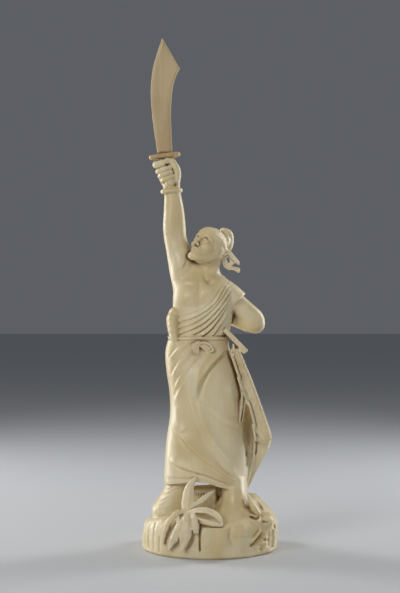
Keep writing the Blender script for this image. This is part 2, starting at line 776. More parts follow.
NARROW_FOLDS = [
    [(25.4, -13.5, 122, 0.8, 2.2), (24.4, -15.4, 112, 1.3, 2.6), (23.2, -17.2, 100, 0.6, 2)],
    [(27.6, -11.5, 120, 0.6, 2), (26.8, -13.4, 111, 0.9, 2.3), (25.2, -15.4, 101, 0.5, 2)],
    [(31.6, -11.6, 88, 0.6, 2), (31.2, -12.4, 78, 0.9, 2.4), (30.6, -12.8, 66, 0.6, 2)],
]


def hollow_under_hem():
    """The space inside the hem, so that the cloth has an edge of its own."""
    inner = Draped([[z, l + 3, r - 3, f + 3, b - 3] for z, l, r, f, b in SKIRT], 0.88, heights)
    return inner.shape(top=lambda x, y: 58.5 + 0 * x, rounding=1.5)


def merge(other, blend):
    """Joins a block that was shaped on its own part of the grid."""
    cuts = tuple(
        slice(*np.searchsorted(axis, (part[0], part[-1] + 1e-3)))
        for axis, part in zip(clay.axes, other.axes)
    )
    clay.field[cuts] = soft_min(clay.field[cuts], other.field, blend)


# Scabbard at the left hip: a collar plate, a tapering body with a raised border, and engraving

SCABBARD = [
    (19.4, -11.6, 155.5, 3.8, 2.6),
    (24, -11, 142.5, 4.4, 2.8),
    (28.3, -10.3, 131.5, 4.7, 3),
    (33.6, -9.3, 117, 4.8, 3),
    (37.2, -8.4, 106, 5.1, 3),
    (41.0, -7.4, 92, 6.0, 3),
    (42.2, -7.0, 85.6, 6.3, 3),
]

COLLAR_CENTRE = (20.2, -8.5, 162.4)
COLLAR_TILT = 46
STRIPS = 4
SCROLLS = 11


def scabbard_place(along, across, out):
    """A place on the scabbard: share of its length, share of its half width, and height off its face."""
    line = smooth_rows(SCABBARD, 101)
    i = min(int(along * 100), 99)
    run = unit(line[i + 1, :3] - line[i, :3])
    side = unit(np.cross(Y_AXIS, run))
    point = line[i, :3] - side * across * line[i, 3]
    return point - Y_AXIS * (line[i, 4] + out)


def scabbard_line(along, across, out=0.0):
    return [scabbard_place(a, b, out) for a, b in zip(along, across)]


def add_scabbard():
    part = Clay(*(axis[cut] for axis, cut in zip(clay.axes, clay.window((8, -17, 76), (54, 0, 176))[0])))
    part.add(limb(SCABBARD, section=flat_section(0.7), steps=24))
    for i in range(STRIPS):
        start, end = 0.03 + 0.24 * i, 0.29 + 0.24 * i
        step = -0.84 - 0.22 * (i % 2)
        along = np.linspace(start, end, 5)
        points = scabbard_line(along, [step] * 5, 0.2)
        part.add(limb([[*p, 0.95, 1.6] for p in points], section=flat_section(0.35), steps=9), 0.15)
    edge = scabbard_line(np.linspace(0.02, 0.98, 9), [0.86] * 9, 0.1)
    part.add(limb([[*p, 0.5, 0.7] for p in edge], section=flat_section(0.25), steps=20), 0.15)
    for border in (-0.58, 0.66):
        along = np.linspace(0.03, 0.97, 13)
        part.cut(limb([[*p, 0.28, 0.4] for p in scabbard_line(along, [border] * 13)], steps=24), 0.15)
    for i in range(SCROLLS):
        middle = 0.07 + 0.86 * i / (SCROLLS - 1)
        lean = 1 if i % 2 else -1
        turn = np.linspace(0, 1.5 * math.pi, 9)
        reach = np.linspace(0.35, 0.16, 9)
        across = 0.04 + lean * reach * 0.9 * np.cos(turn)
        along = middle + 0.075 * reach * np.sin(turn)
        part.cut(limb([[*p, 0.3, 0.4] for p in scabbard_line(along, across)], steps=16), 0.15)
        part.add(blob(scabbard_place(middle, 0.04, 0), (0.5, 0.45, 0.5)), 0.15)
        part.cut(blob(scabbard_place(middle + 0.035, 0.5 * lean, 0), (0.4, 0.4, 0.4)), 0.15)
    axes = turned(Y_AXIS, -COLLAR_TILT)
    part.add(slab(COLLAR_CENTRE, (12.2, 1.9, 6), (*axes, Y_AXIS), 0.6), 0.3)
    part.add(slab((25.6, -9.6, 155.8), (3.0, 2.2, 5), (*axes, Y_AXIS), 0.6), 0.6)
    part.cut(slab((21.0, -14.6, 157.8), (1.9, 0.8, 2.6), (*axes, Y_AXIS), 0.3), 0.3)
    part.add(limb([(18.4, -12.6, 159.6, 0.8, 2), (19, -13.2, 154, 0.9, 2), (17.6, -14, 149, 0.5, 2)], steps=8), 0.4)
    merge(part, 0.3)
    clay.cut(crease([(34.6, -10.4, 90.6), (40.5, -10.2, 85.2), (47.6, -9, 79.4)], 0.9), 0.3)


def slab(centre, half, axes, corner):
    """A rounded box with its own three axes."""
    centre = np.array(centre, float)
    reach = sum(np.abs(axis) * h for axis, h in zip(axes, half))

    def distance(x, y, z):
        dx, dy, dz = x - centre[0], y - centre[1], z - centre[2]
        over = [
            np.abs(dx * a[0] + dy * a[1] + dz * a[2]) - h + corner for a, h in zip(axes, half)
        ]
        outside = np.sqrt(sum(np.maximum(o, 0) ** 2 for o in over))
        inside = np.minimum(np.maximum(np.maximum(over[0], over[1]), over[2]), 0)
        return outside + inside - corner

    return centre - reach, centre + reach, distance


# Torso: bare at the right breast, with the robe drawn over the left shoulder in diagonal folds

TORSO = [
    [BELT_HEIGHT - 5, -31, 13.5, -16, 13],
    [172, -29.4, 15.4, -16, 13],
    [184, -28.9, 17.4, -16.6, 14],
    [196, -28.4, 19, -17.4, 15],
    [204, -27.6, 18.5, -16, 14.5],
    [211, -25.6, 12, -12.6, 12.5],
    [218, -20, 6.5, -8, 9],
]

# Upper edge of the cloth on the torso: x and height
CLOTH_EDGE = [
    (-33, 181),
    (-26, 180.6),
    (-19, 182.6),
    (-10.2, 185),
    (-3.7, 188.7),
    (-0.6, 193),
    (3.3, 199),
    (6, 205),
    (9.1, 211),
    (12, 219),
]

TORSO_FOLDS = [
    ([(10.4, 211), (6.6, 203.6), (1.6, 195), (-4.8, 188.6), (-13, 184.4), (-27, 181)], 1.3, 0.9, -0.7, 0.4),
    ([(12, 209), (8, 201), (2.8, 192), (-4.6, 185.2), (-14, 180), (-27, 176)], 1.6, 1.2, -0.8, 0.8),
    ([(13.6, 206.6), (9.6, 199), (4, 190.5), (-4, 182), (-14, 175.6), (-28, 171)], 1.6, 1.2, -0.8, 0.8),
    ([(15.4, 203), (11, 196), (5.4, 187.6), (-2.6, 178.8), (-12, 172.4), (-25, 167)], 1.5, 1.3, -0.8, 0.9),
    ([(15, 197), (9.6, 189.4), (3.2, 180.4), (-4.4, 172.8), (-13, 167.2)], 1.4, 1.4, -0.8, 1.1),
    ([(13.2, 192.4), (9, 184.8), (4, 177), (-0.6, 171), (-6.6, 166)], 1.2, 1.5, -0.8, 1.4),
    ([(13.4, 186), (10, 179.6), (5.6, 172.6), (1.4, 166.4)], 1.1, 1.3, -0.8, 1.2),
    ([(16, 180), (13.4, 174), (9.4, 169), (5, 165.2)], 1.2, 0.8, -0.7, 0.6),
]

SHOULDER_FOLDS = [
    [(8.6, 3, 213.4), (8.6, -6, 211.6), (7, -11.6, 206)],
    [(12.2, 3, 211.2), (12, -7, 208.6), (9.6, -12.4, 202)],
    [(16, 3, 208.4), (15.4, -7, 205.8), (12.4, -12.4, 198.6)],
    [(19.6, 3, 205.6), (19, -6.6, 203), (15.4, -11.8, 195.6)],
    [(23, 3, 202.6), (22.4, -5.6, 200.4), (19, -10.2, 192.6)],
]


def add_torso():
    trunk = Draped(TORSO, 0.9, heights)
    skin_x, skin_y, skin_z = (trunk.skin[..., i] for i in range(3))
    covered = smooth_step((np.interp(skin_x, *np.array(CLOTH_EDGE).T) - skin_z) / 0.9)
    front = smooth_step(-skin_y / 6)
    trunk.relief += CLOTH * covered
    bare = (1 - covered) * front

    def swell(x, z, reach_x, reach_z, height):
        return height * np.exp(-(((skin_x - x) / reach_x) ** 2) - ((skin_z - z) / reach_z) ** 2)

    trunk.relief += bare * swell(-17.5, 196, 9, 7.5, 2.6)
    trunk.relief += bare * swell(0, 200, 6.5, 8, 1.8)
    trunk.relief += bare * (swell(-18.2, 193.6, 1.0, 1.0, 0.35) - swell(-8, 199, 1.5, 9, 0.9))
    trunk.relief += bare * (swell(-19, 186, 8, 3, 0.5) - swell(-16, 189.4, 9, 1.8, 0.6))
    trunk.relief += bare * (swell(-16, 208.4, 7, 1.5, 0.5) - swell(-14, 205.4, 8, 1.6, 0.4))
    for path, width, height, lean, groove in TORSO_FOLDS:
        trunk.fold(path, width, height, lean, groove, ends=0.05)
    for i in range(6):
        start = 10 - 6 * i
        path = [(start + 6, 204 - 3 * i), (start - 4, 188 - 3 * i), (start - 18, 172 - 2 * i)]
        trunk.fold(path, 1.8, 1.1, 0.3, 0.5, back=True, ends=0.1)
    clay.add(trunk.shape(rounding=2.0), 1.0)
    neck = [(-4, 3, 205, 12, 9), (-2.6, 1, 215, 9.6, 8.4), (-1.2, -1, 224, 9.0, 8), (0, -2, 234, 8, 8)]
    clay.add(limb(neck, steps=12), 3.5)
    clay.add(limb([(7, -3, 226, 2.4, 2.4), (4, -6.4, 217, 2.2, 2), (0.6, -9.4, 209, 1.4, 1.4)], steps=8), 2.4)
    clay.add(blob((-12, 2, 217), (8, 9, 8)), 3.0)
    clay.cut(blob((0.4, -14.4, 208), (2.4, 2.6, 2.6)), 2.4)
    clay.cut(crease([(-4, -9.4, 221), (-4, -11, 215), (-3, -13.6, 208.6)], 0.7), 2.6)


ROLL_BUMPS = 5


def bunched_section(side, deep, beyond, width, depth, t):
    """A roll of cloth pinched into soft bumps along its length."""
    slant = t * ROLL_BUMPS + 0.05 * side
    swell = 1 + 0.16 * np.abs(np.sin(np.pi * slant)) - 0.08
    return ellipse([side**2, deep**2, beyond**2], [width * swell, depth * swell, width * swell])


def add_waist_roll():
    roll = [
        (-26.6, -8, 164, 4.0, 8),
        (-27.6, -8, 169, 4.4, 8.6),
        (-28.2, -7.4, 174, 4.8, 9),
        (-28.4, -6.6, 179, 5.0, 9),
        (-28.0, -4, 183.6, 3.6, 7),
    ]
    clay.add(limb(roll, section=bunched_section, steps=24), 1.2)


# Belt with its knot, bow loop and hanging end


def add_belt():
    rows = [[z, -32.6 + tuck, 14.4 - tuck, -18.6 + tuck, 14.8 - tuck] for z, tuck in
            ((BELT_HEIGHT - 2.6, 0.7), (BELT_HEIGHT, 0.1), (BELT_HEIGHT + 2.2, 0.5))]
    band = Draped(rows, 0.9, heights)
    clay.cut(belt_line(BELT_HEIGHT + 2.7, 0.75), 0.3)
    clay.add(band.shape(rounding=0.5), 0.3)
    clay.cut(belt_line(BELT_HEIGHT - 0.4, 0.35), 0.2)
    clay.add(blob((-9.0, -20.2, 160.4), (2.4, 1.9, 2.4)), 0.5)
    clay.add(blob((-2.6, -19.6, 157.6), (5.0, 1.3, 2.3), turned_frame(-32)), 0.5)
    loop = [(-7.6, 161), (-3, 161.2), (1.2, 158.6), (2.4, 155), (-1.6, 154.6), (-7.2, 159)]
    clay.add(limb([(x, -20.8, z, 0.8, 0.95) for x, z in loop], steps=20), 0.4)
    clay.cut(crease([(-6.6, -20.8, 159.8), (-3, -21, 159.2), (0.6, -20.8, 157.2)], 0.5), 0.3)
    tail = [(-11.4, -19, 160.6, 2.6, 0.9), (-10.6, -20.6, 156.4, 2.8, 0.9), (-8.9, -21.3, 150, 1.2, 0.7)]
    clay.add(limb(tail, section=flat_section(0.4), steps=10), 0.5)


def belt_line(z, radius):
    """A thin line round the waist."""
    half_x, half_y, middle_x, middle_y = 23.1, 16.3, -9.1, -1.9
    rows = []
    for i in range(41):
        angle = math.tau * i / 40
        c, s = math.cos(angle), math.sin(angle)
        k = (abs(c) ** 2.2 + abs(s) ** 2.2) ** (-1 / 2.2)
        rows.append((middle_x + half_x * c * k, middle_y + half_y * s * k, z, radius, radius))
    return limb(rows, Z_AXIS, steps=60)


def turned_frame(degrees):
    first, second = turned(Y_AXIS, degrees)
    return first, Y_AXIS, second


# Arms: the right arm straight up to the fist, the left arm bent with its hand behind the back

RAISED_ARM = [
    (-16, 2, 193, 9, 9),
    (-18, 2, 203, 10.2, 10),
    (-20.7, 1.8, 215, 10.4, 10.2),
    (-23.0, 1.5, 226, 9.9, 9.8),
    (-25.2, 1.2, 235.7, 9.2, 9.2),
    (-27.0, 0.9, 243.5, 8.8, 8.6),
    (-27.6, 0.6, 252, 8.9, 8.4),
    (-28.0, 0.3, 264.8, 7.9, 7.4),
    (-28.9, 0, 276, 6.6, 6.2),
    (-29.6, 0, 283, 6.4, 6.0),
]

BENT_ARM = [
    (8, 0, 203, 7.4, 9),
    (15, -0.6, 197, 7.6, 8.6),
    (22.6, 0.4, 190.6, 6.9, 7.6),
    (29.2, 1.4, 184.4, 7.2, 8),
    (35, 2.6, 179, 7.4, 8),
    (36.6, 3.6, 175, 6.9, 7.4),
]

FOREARM = [
    (36.4, 3.4, 175.2, 6.9, 7.4),
    (30.4, 4.4, 177, 7.8, 8),
    (22, 9.4, 179.4, 7.4, 7),
    (13, 14.4, 181.4, 5.8, 5.4),
    (6, 17.4, 183, 5, 4.4),
]

WRIST = (-29.8, 0, 279.6)
BRACELET_RADIUS = 7.1
BRACELET_HALF = 1.75


def ring(centre, radius, half, depth_ratio=1.0):
    rows = []
    for i in range(17):
        angle = math.tau * i / 16
        x = centre[0] + radius * math.cos(angle)
        y = centre[1] + radius * depth_ratio * math.sin(angle)
        rows.append((x, y, centre[2] + 0.6 * math.cos(angle), half, half))
    return limb(rows, Z_AXIS, steps=32)


def add_arms():
    clay.add(limb(RAISED_ARM, steps=24), 2.5)
    clay.add(blob((-22, -4, 221), (6.4, 6, 12)), 3.0)
    clay.add(blob((-30, -3, 253), (5, 5, 13)), 2.5)
    clay.cut(crease([(-15.4, -7, 238), (-16.6, -8.6, 229), (-20, -9.4, 219)], 0.5), 1.6)
    clay.cut(crease([(-31.4, -6, 217), (-27.6, -10, 211.6), (-26.6, -13.4, 204), (-26.8, -14.6, 196)], 0.9), 1.6)
    clay.cut(crease([(-28.6, -9.6, 214.4), (-22.4, -10.8, 217), (-15.6, -9.4, 222)], 1.0), 2.6)
    clay.cut(crease([(-34.6, -5, 246.6), (-30, -8.4, 243.6), (-24.6, -8.6, 244.6)], 0.4), 1.2)
    clay.add(limb(BENT_ARM, Z_AXIS, steps=14), 1.5)
    clay.add(limb(FOREARM, Z_AXIS, steps=14), 1.0)
    clay.cut(crease([(15, -3, 184), (20, -6.4, 185.4), (24.6, -7.8, 188.4), (27.6, -7.4, 192)], 1.0), 2.0)
    clay.cut(crease([(22.4, -4.6, 182.6), (25.4, -5.6, 181.4), (28, -5.8, 182)], 0.5), 0.5)
    clay.cut(crease([(23, -4.2, 179.8), (26, -4.9, 178.8)], 0.45), 0.5)
    clay.cut(crease([(25.4, -5.8, 184.4), (28.4, -6.2, 183.4)], 0.45), 0.5)
    clay.add(blob((3, 17, 183.6), (6.6, 4.2, 5.2)), 1.5)
    for i in range(4):
        clay.add(bar((2, 20.4, 187 - 2.6 * i), (-7, 17.6, 188.6 - 2.8 * i), 1.5, 1.25), 0.5)
    clay.add(bar((4, 18.6, 188), (-1, 18, 192), 1.6, 1.3), 0.8)
    clay.add(ring(WRIST, BRACELET_RADIUS, BRACELET_HALF, 0.94), 0.3)


SLEEVE = [
    (3, 0.6, 204.6, 8.8, 12),
    (9, 0, 202, 9.4, 12.6),
    (15, -0.6, 198.4, 9.4, 11.6),
    (21, -0.8, 194.2, 8.6, 10.2),
    (26, -0.6, 190.4, 7.8, 9.4),
]


def add_sleeve():
    """The cap of cloth over the left shoulder, open along a slanting hem."""
    part = Clay(*(axis[cut] for axis, cut in zip(clay.axes, clay.window((-4, -18, 182), (34, 18, 216))[0])))
    part.add(limb(SLEEVE, steps=16))
    for points in SHOULDER_FOLDS:
        part.add(crease(points, 0.9), 1.4)
    slope = unit((0.66, -0.06, -0.75))
    low, high, _ = slab((20, 0, 190), (30, 30, 30), (X_AXIS, Y_AXIS, Z_AXIS), 1)

    def beyond_hem(x, y, z):
        return 0.5 - ((x - 21) * slope[0] + y * slope[1] + (z - 193) * slope[2])

    part.cut((low, high, beyond_hem), 0.5)
    merge(part, 0.6)


# Fist round the grip. Each finger: knuckle, middle and tip

FINGERS = [
    [(-41.8, -2.5, 300.6), (-41.4, -6, 299.4), (-37.4, -7.6, 300.6), (-34.6, -6.4, 301)],
    [(-40.4, -2.4, 294.6), (-38.6, -6.4, 295.4), (-34.6, -7.6, 296.6), (-31, -6.4, 297.6)],
    [(-38.8, -2.2, 291), (-37, -6.2, 291.8), (-33.4, -7.4, 293), (-30.4, -6.4, 294)],
    [(-37, -2, 287.6), (-35.4, -5.8, 288.4), (-32, -7, 289.6), (-29, -6, 290.8)],
]

FINGER_RADII = [2.7, 2.1, 2.0, 1.9]


def add_fist():
    palm = [
        (-29.8, 0, 281, 6.0, 5.6),
        (-30.4, 1, 286, 6.8, 6.0),
        (-31.6, 1.8, 292, 8.6, 6.0),
        (-33, 1.8, 298, 8.6, 5.6),
        (-34, 1.2, 302, 6.4, 4.4),
    ]
    clay.add(limb(palm, steps=12), 1.2)
    for points, radius in zip(FINGERS, FINGER_RADII):
        clay.add(limb([(*p, radius, radius) for p in points], Z_AXIS, steps=12), 0.35)
    thumb = [
        (-27.4, -1, 284, 3.6, 4),
        (-25.8, -2.4, 290, 3.4, 4),
        (-26, -4, 296, 3.3, 3.4),
        (-28.8, -5, 301, 2.7, 2.8),
        (-33.4, -5.4, 303.2, 2.1, 2.3),
    ]
    clay.add(limb(thumb, Y_AXIS, steps=14), 0.6)
    clay.add(blob((-30.4, -4, 286.4), (4.6, 3.6, 3.9), turned_frame(-20)), 0.5)
    clay.cut(blob((-33.6, -7.4, 299.4), (1.6, 2.2, 0.9), turned_frame(-30)), 0.4)
    clay.cut(blob((-26.6, -5.8, 284.4), (1.6, 1.6, 1.0), turned_frame(40)), 0.5)
    clay.cut(crease([(-28.8, -7.6, 290.4), (-27, -7, 287), (-26.2, -6, 284.6)], 0.5), 0.4)
    grip = grip_axis()
    clay.cut(bar(grip[0], grip[1], 2.9), 0.1)
    clay.cut(guard_plate(FIT_GAP), 0.1)


def grip_axis():
    down = np.array([math.sin(SWORD_LEAN), 0, -math.cos(SWORD_LEAN)])
    centre = np.array(GUARD_CENTRE)
    return centre + down, centre + down * 18


def guard_plate(grow=0.0):
    along, up = turned(Y_AXIS, math.degrees(SWORD_LEAN))
    rows = [
        [*(np.array(GUARD_CENTRE) + along * place), 5.2 + grow, 1.72 + grow] for place in (-7.2, 0, 7.2)
    ]
    return limb(rows, up, flat_round_section, steps=4)


def flat_round_section(side, deep, beyond, width, depth, _):
    """A plate with rounded edges and half-round ends."""
    corner = 1.2
    a = np.hypot(side, beyond) - width + corner
    b = np.abs(deep) - depth + corner
    outside = np.sqrt(np.maximum(a, 0) ** 2 + np.maximum(b, 0) ** 2)
    return outside + np.minimum(np.maximum(a, b), 0) - corner


# Head, tilted to the raised hand. Places on it are left, face and crown, from its middle

HEAD_CENTRE = np.array([-0.4, -3.0, 236.2])
HEAD_SIZE = 1.12
CROWN = unit((0.47, 0.30, 0.83))
FACE = unit((-0.492, -0.692, 0.530))
LEFT = np.cross(CROWN, FACE)
FACE = np.cross(LEFT, CROWN)
HEAD_AXES = (LEFT, FACE, CROWN)


def on_head(left, face, crown):
    return HEAD_CENTRE + (LEFT * left + FACE * face + CROWN * crown) * HEAD_SIZE


def head_blob(place, radii):
    return blob(on_head(*place), [r * HEAD_SIZE for r in radii], HEAD_AXES)


def head_line(places, radii, steps=14):
    rows = [[*on_head(*p), r * HEAD_SIZE, r * HEAD_SIZE] for p, r in zip(places, radii)]
    return limb(rows, CROWN, steps=steps)


def add_head():
    head = Clay(
        *(axis[cut] for axis, cut in zip(clay.axes, clay.window((-18, -22, 214), (24, 18, 256))[0]))
    )
    head.add(head_blob((0, -1, 2), (10, 12.4, 11)))
    head.add(head_blob((0, 2.6, -5), (8.4, 8.4, 10)), 2.0)
    head.add(head_blob((0, 4.4, 4.4), (8.2, 7.8, 7.2)), 2.0)
    for s in (-1, 1):
        jaw = [(8.0 * s, -1, -4), (7.0 * s, 1.4, -9.6), (3.4 * s, 7.4, -13.6), (0, 8.6, -14.2)]
        head.add(head_line(jaw, [2.8, 2.6, 2.4, 2.6]), 1.6)
        head.add(head_blob((5.6 * s, 7.2, -4.6), (2.9, 2.7, 2.5)), 2.0)
    head.add(head_blob((0, 8.9, -13.4), (3.2, 2.6, 2.5)), 1.4)
    head.add(head_blob((0, 8.6, -9.4), (4.4, 3.0, 3.4)), 1.6)
    add_eyes(head)
    add_nose(head)
    add_mouth(head)
    add_ears(head)
    add_hair(head)
    merge(head, 0.8)
    add_ribbons()


def add_eyes(head):
    for s in (-1, 1):
        brow = [(7.4 * s, 7.6, 0.8), (4.4 * s, 10.3, 2.2), (1.4 * s, 11.0, 1.5)]
        head.add(head_line(brow, [0.9, 1.1, 0.9]), 1.2)
        head.cut(head_blob((4.1 * s, 11.9, -1.4), (2.9, 2.2, 1.9)), 1.3)
        head.add(head_blob((4.0 * s, 8.2, -1.6), (2.5, 2.5, 2.3)), 0.2)
        lid = [(1.9 * s, 10.0, -1.7), (3.0 * s, 10.8, -0.8), (4.4 * s, 10.9, -0.6), (6.2 * s, 9.6, -1.8)]
        head.add(head_line(lid, [0.4, 0.5, 0.5, 0.4]), 0.3)
        under = [(2.0 * s, 9.9, -1.9), (3.4 * s, 10.5, -2.9), (4.8 * s, 10.3, -2.9), (6.2 * s, 9.4, -2.0)]
        head.add(head_line(under, [0.35, 0.4, 0.4, 0.35]), 0.4)


def add_nose(head):
    head.add(head_line([(0, 10.6, 1.2), (0, 12.0, -2.4), (0, 13.6, -5.8)], [1.0, 1.15, 1.45]), 1.1)
    for s in (-1, 1):
        head.add(head_blob((1.55 * s, 12.1, -6.2), (1.05, 1.4, 1.0)), 0.4)
        head.cut(head_blob((0.85 * s, 13.2, -7.2), (0.5, 0.7, 0.5)), 0.2)


def add_mouth(head):
    upper = [(-2.9, 10.5, -9.7), (-1.0, 11.9, -9.0), (0, 11.9, -9.2), (1.0, 11.9, -9.0), (2.9, 10.5, -9.7)]
    head.add(head_line(upper, [0.35, 0.7, 0.65, 0.7, 0.35]), 0.5)
    lower = [(-2.6, 10.4, -10.1), (0, 11.6, -10.6), (2.6, 10.4, -10.1)]
    head.add(head_line(lower, [0.4, 0.85, 0.4]), 0.5)
    head.cut(head_line([(-3.2, 10.8, -9.8), (0, 12.5, -9.85), (3.2, 10.8, -9.8)], [0.22, 0.28, 0.22]), 0.2)


def add_ears(head):
    for s in (-1, 1):
        rim = [(9.2 * s, 0.4, -5.4), (9.6 * s, -0.2, -1.8), (10.4 * s, -2.2, 0.4), (10.9 * s, -3.8, -1.8)]
        rim += [(10.4 * s, -3.0, -4.6), (9.6 * s, -1.0, -6.6)]
        head.add(head_blob((9.5 * s, -1.8, -3), (1.2, 2.2, 3.4)), 0.6)
        head.add(head_line(rim, [0.6, 0.7, 0.8, 0.8, 0.8, 0.9], steps=18), 0.3)
        head.cut(head_blob((10.9 * s, -1.5, -2.8), (0.9, 1.1, 1.7)), 0.4)


HAIR_BACK = (0, -10.5, 9.0)


def add_hair(head):
    """Hair combed back under a band to a topknot."""
    low, high, skull = head_blob((0, -1, 2), (10.6, 13.0, 11.7))

    def distance(x, y, z):
        dx, dy, dz = x - HEAD_CENTRE[0], y - HEAD_CENTRE[1], z - HEAD_CENTRE[2]
        left, face, crown = ((dx * a[0] + dy * a[1] + dz * a[2]) / HEAD_SIZE for a in HEAD_AXES)
        turn = np.arctan2(left, np.hypot(face - HAIR_BACK[1], crown - HAIR_BACK[2]) + 2)
        comb = 0.10 * np.sin(turn * 46) + 0.06 * np.sin(turn * 25 + 1)
        line = 0.62 * face - 0.55 * crown + 0.5 - 0.05 * left**2
        return soft_max(skull(x, y, z) + comb, line, 0.5)

    head.add((low, high, distance), 0.2)
    band = []
    for i in range(25):
        angle = math.tau * i / 24
        face, left = 12.5 * math.cos(angle), 10.6 * math.sin(angle)
        band.append((left, face - 1.2, 4.2 + 0.10 * face))
    rows = [[*on_head(*p), 1.5, 0.6] for p in band]
    head.add(limb(rows, CROWN, band_section, steps=48), 0.25)
    head.add(head_blob((1, -9, 11), (5, 5, 5)), 0.5)
    bun = [(0, -5, 16.2), (0.8, -9.6, 16.4), (1.4, -13.6, 12.6), (1.6, -15.6, 8), (1.6, -15.8, 4.4)]
    head.add(head_line(bun, [2.6, 4.0, 3.9, 3.0, 1.4]), 0.4)
    for k in (-1.5, -0.5, 0.5, 1.5):
        strand = [(1.6 * k, -4, 18.6), (2.0 * k + 0.8, -10.4, 20.2), (2.0 * k + 1.4, -17, 15), (1.4 * k + 1.6, -18.6, 8)]
        head.cut(head_line(strand, [0.2, 0.35, 0.35, 0.2]), 0.5)


def band_section(side, deep, beyond, width, depth, t):
    """A strap that lies flat: its wide way is along the crown."""
    return flat_section(0.35)(deep, side, beyond, width, depth, t)


# Ribbons of the headband: rows are x, y, z, half width and half thickness

RIBBONS = [
    [(12.4, 3, 234.5, 1.9, 0.8), (14.8, -0.6, 232, 2.0, 0.8), (18.6, -1.8, 227.4, 1.9, 0.7), (22.2, -1.6, 223.2, 1.6, 0.9)],
    [(10.4, 0, 229, 1.5, 0.9), (10.9, -2, 224.6, 1.5, 0.7), (12.6, -2.4, 220.8, 1.5, 0.7), (15.4, -2.4, 218.9, 1.5, 0.7)],
    [(15.4, -2.4, 218.9, 1.5, 0.7), (18.6, -2.2, 219, 1.4, 0.7), (22, -2, 217.8, 1.9, 0.9)],
]


def add_ribbons():
    for rows in RIBBONS:
        clay.add(limb(rows, unit((0.5, -0.75, 0.4)), flat_section(0.35), steps=14), 0.4)
    clay.add(slab((15.0, -2, 224.4), (2.6, 4.4, 0.6), (*turned(Y_AXIS, 42), Y_AXIS), 0.5), 0.6)
    clay.cut(blob((14.6, -2, 225.4), (1.2, 4, 2.3), turned_frame(20)), 0.3)
    clay.add(bar((21.6, -3.6, 224), (22.6, 0.4, 222.4), 1.1), 0.4)
    clay.add(bar((22.6, -3.8, 216.4), (23, 0.4, 218.4), 1.1), 0.4)
    clay.add(blob((9.8, -3, 231.4), (2.0, 1.8, 2.2)), 0.6)


# From clay to mesh, in metres


def mesh_from(field, axes, name, most_triangles):
    """One closed mesh round the clay's zero distance, with smooth faces."""
    grid = openvdb.FloatGrid(FAR)
    grid.copyFromArray(field)
    points, quads = grid.convertToQuads(isovalue=0.0)
    places = np.stack(
        [np.interp(points[:, i], np.arange(axes[i].size), axes[i]) for i in range(3)], 1
    )
    mesh = bpy.data.meshes.new(name)
    mesh.vertices.add(len(places))
    mesh.vertices.foreach_set("co", (places * MM).astype(np.float32).ravel())
    mesh.loops.add(quads.size)
    mesh.loops.foreach_set("vertex_index", quads.astype(np.int32).ravel())
    mesh.polygons.add(len(quads))
    mesh.polygons.foreach_set("loop_start", np.arange(0, quads.size, 4, dtype=np.int32))
    mesh.update()
    piece = bpy.data.objects.new(name, mesh)
    bpy.context.scene.collection.objects.link(piece)
    keep_one_body(piece)
    if 2 * len(quads) > most_triangles:
        thin = piece.modifiers.new("thin", "DECIMATE")
        thin.ratio = most_triangles / (2 * len(quads))
        apply_modifiers(piece)
    piece.data.shade_smooth()
    return piece


def apply_modifiers(piece):
    graph = bpy.context.evaluated_depsgraph_get()
    made = bpy.data.meshes.new_from_object(piece.evaluated_get(graph))
    piece.modifiers.clear()
    old, piece.data = piece.data, made
    made.name = old.name
    bpy.data.meshes.remove(old)


def keep_one_body(piece):
    """Drops loose crumbs: all but the largest connected part of the mesh."""
    shape = bmesh.new()
    shape.from_mesh(piece.data)
    shape.verts.ensure_lookup_table()
    seen = np.zeros(len(shape.verts), bool)
    bodies = []
    for start in shape.verts:
        if seen[start.index]:
            continue
        seen[start.index] = True
        body, queue = [start], [start]
        while queue:
            for edge in queue.pop().link_edges:
                for vert in edge.verts:
                    if not seen[vert.index]:
                        seen[vert.index] = True
                        body.append(vert)
                        queue.append(vert)
        bodies.append(body)
    bodies.sort(key=len)
    for body in bodies[:-1]:
        bmesh.ops.delete(shape, geom=body, context="VERTS")
    shape.to_mesh(piece.data)
    shape.free()


def sampled(field, axes, places):
    """The field at places in millimetres, read between the grid's cells."""
    cells, shares = [], []
    for i, axis in enumerate(axes):
        at = np.interp(places[:, i], axis, np.arange(axis.size))
        cell = np.minimum(at.astype(int), axis.size - 2)
        cells.append(cell)
        shares.append(at - cell)
    total = 0
    for corner in np.ndindex(2, 2, 2):
        weight = 1
        for share, c in zip(shares, corner):
            weight = weight * (share if c else 1 - share)
        total = total + field[tuple(cell + c for cell, c in zip(cells, corner))] * weight
    return total


# Stains: centre, reach and strength
STAINS = [
    ((-10.6, -22, 153.5), (4.6, 4, 6.5), 0.9),
    ((24, -16, 126), (4.5, 9, 17), 0.8),
    ((38.6, 0, 170), (5.5, 9, 5), 0.7),
    ((29, -10, 92), (6, 10, 16), 0.9),
    ((-14, -47, 24), (10, 8, 8), 0.9),
    ((-5, -14, 38), (9, 8, 8), 0.7),
    ((18, -3, 221), (5, 4, 4), 0.6),
    ((34, -18, 20), (16, 14, 12), 0.5),
    ((-30, -4, 282), (5, 8, 4), 0.4),
    ((-26, -7, 283.5), (3, 4, 3), 0.8),
    ((-18, -50, 12), (12, 8, 8), 0.5),
]


